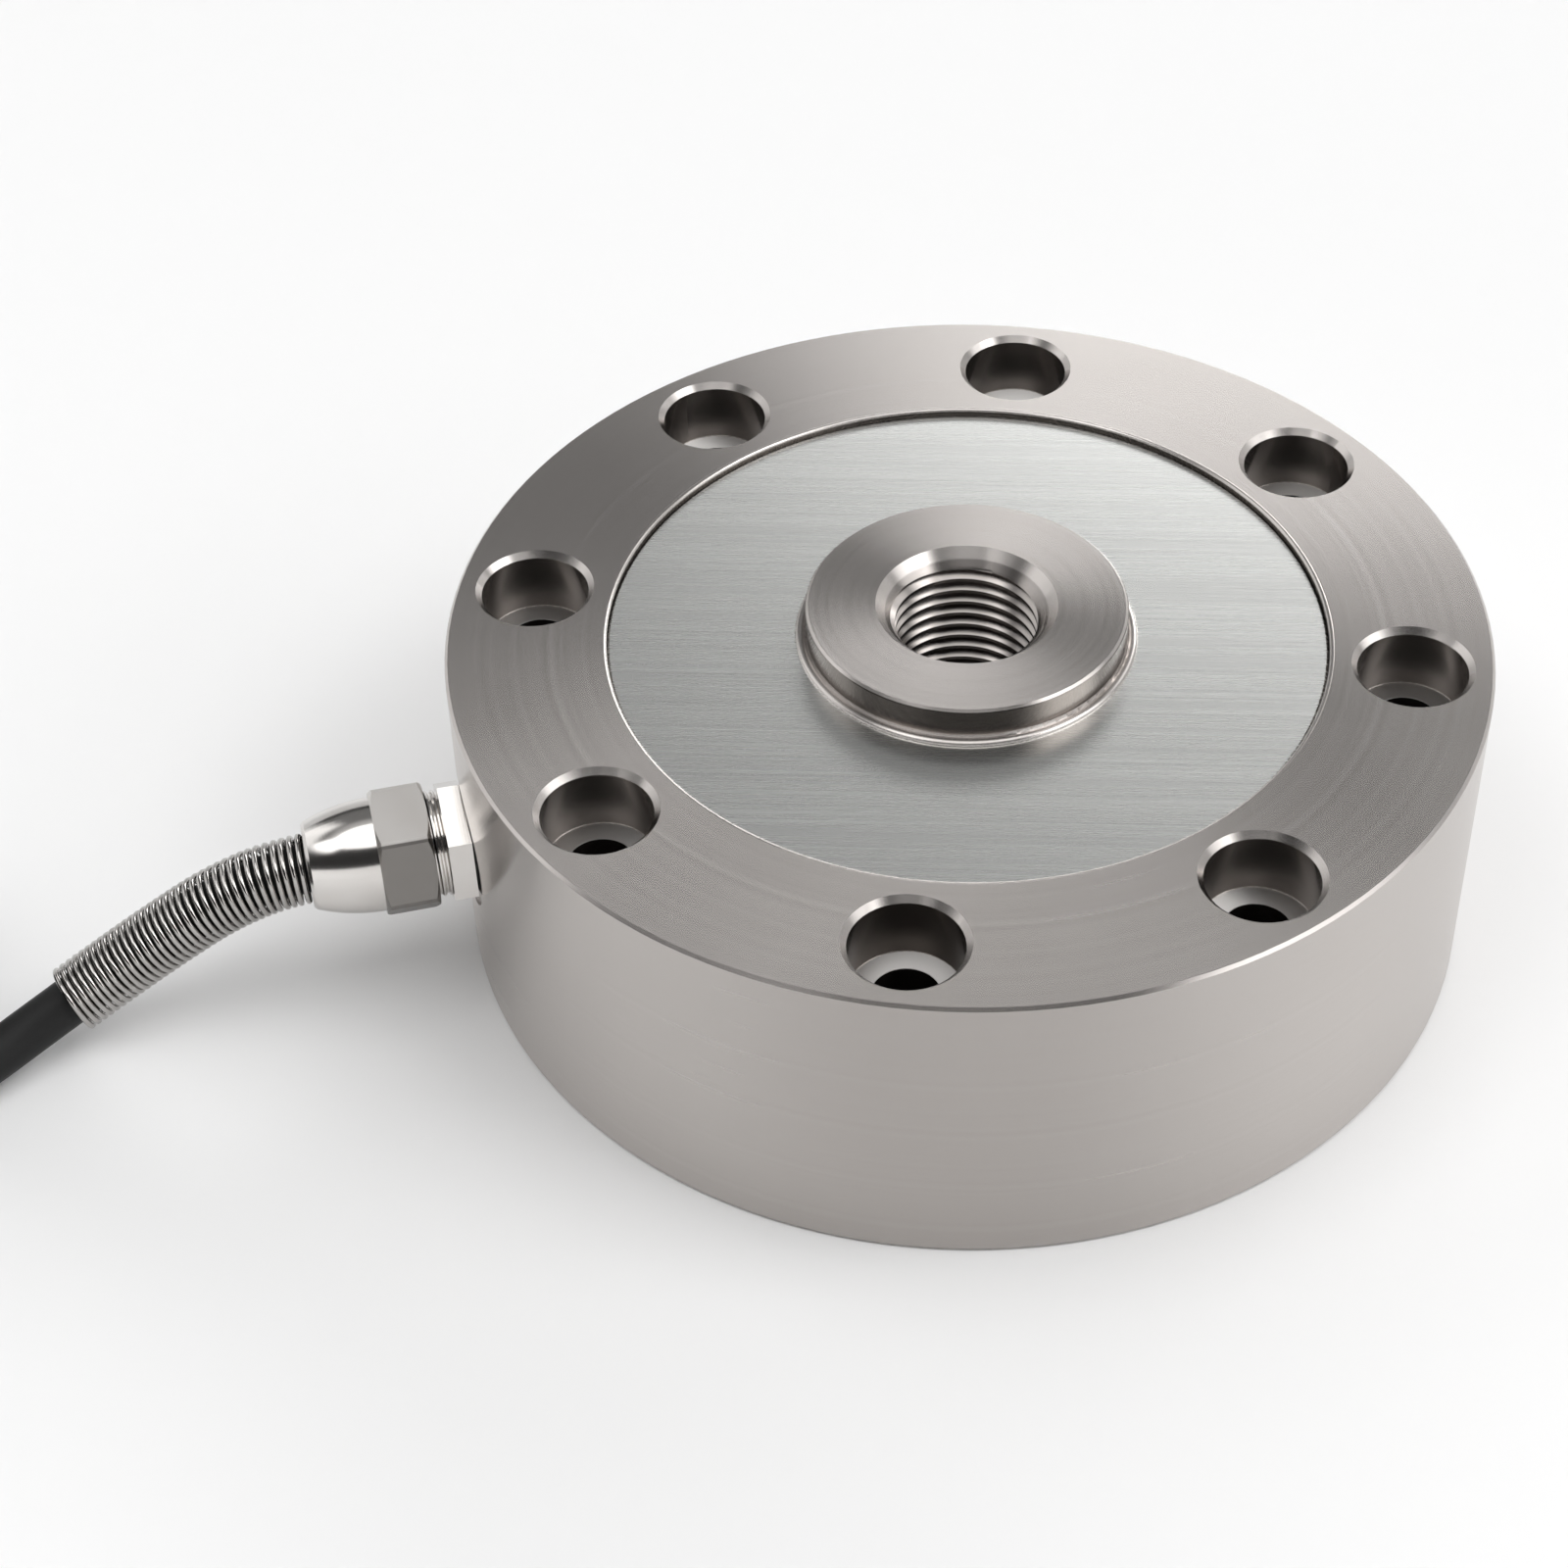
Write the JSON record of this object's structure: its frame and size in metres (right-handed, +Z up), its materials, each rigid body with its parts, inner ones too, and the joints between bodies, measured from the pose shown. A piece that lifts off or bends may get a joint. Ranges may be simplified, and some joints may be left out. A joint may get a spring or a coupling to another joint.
{
  "type": "weighing load cell",
  "caption": "Low-profile spoke-type weighing load cell: thick steel ring with counterbored bolt holes, raised threaded hub, recessed cover and a side cable gland with a spring relief.",
  "frame": {"origin": "centre of the ring's base, on the hub's axis", "axes": "+Z up along the hub's axis; the cable gland points along -X, midway between two bolt holes"},
  "size_m": [0.2399, 0.105, 0.037],
  "materials": {
    "nickel_steel": "satin nickel plate on machined alloy steel",
    "cover_steel": "sheet brushed in one direction",
    "bright_nickel": "bright nickel plate",
    "spring_steel": "bright drawn spring wire",
    "cable_jacket": "black extruded jacket",
    "seal_rubber": "black moulded rubber",
    "sealant": "grey cured sealant",
    "gauge_film": "amber film with foil grids",
    "lead_wire": "enamelled copper wire",
    "board": "green glass-fibre board",
    "resistor": "black chip with tinned ends",
    "core_red": "red core insulation",
    "core_black": "black core insulation",
    "core_green": "green core insulation",
    "core_white": "white core insulation",
    "tinned_copper": "tinned copper strands",
    "tie_nylon": "black moulded tie"
  },
  "bodies": {
    "root": {"spring_element": "nickel_steel", "top_cover": "cover_steel", "bottom_cover": "cover_steel", "top_rim_seal": "sealant", "top_hub_seal": "sealant", "bottom_rim_seal": "sealant", "bottom_hub_seal": "sealant", "strain_gauge_1": "gauge_film", "gauge_leads_1": "lead_wire", "strain_gauge_2": "gauge_film", "gauge_leads_2": "lead_wire", "strain_gauge_3": "gauge_film", "gauge_leads_3": "lead_wire", "strain_gauge_4": "gauge_film", "gauge_leads_4": "lead_wire", "strain_gauge_5": "gauge_film", "gauge_leads_5": "lead_wire", "strain_gauge_6": "gauge_film", "gauge_leads_6": "lead_wire", "strain_gauge_7": "gauge_film", "gauge_leads_7": "lead_wire", "strain_gauge_8": "gauge_film", "gauge_leads_8": "lead_wire", "wiring_board": "board", "trim_resistor_1": "resistor", "trim_resistor_2": "resistor", "trim_resistor_3": "resistor", "trim_resistor_4": "resistor", "gland_body": "bright_nickel", "clamp_nut": "bright_nickel", "gland_washer": "bright_nickel", "gland_o_ring": "seal_rubber", "gland_grommet": "seal_rubber", "strain_relief_spring": "spring_steel", "cable_in_gland": "cable_jacket", "cable_lead": "cable_jacket", "cable_coil": "cable_jacket", "cable_tail": "cable_jacket", "coil_tie": "tie_nylon", "shield_lead": "tinned_copper", "inner_shield": "tinned_copper", "tinned_tips": "tinned_copper", "core_red": "core_red", "inner_core_red": "core_red", "core_black": "core_black", "inner_core_black": "core_black", "core_green": "core_green", "inner_core_green": "core_green", "core_white": "core_white", "inner_core_white": "core_white"}
  },
  "joints": []
}
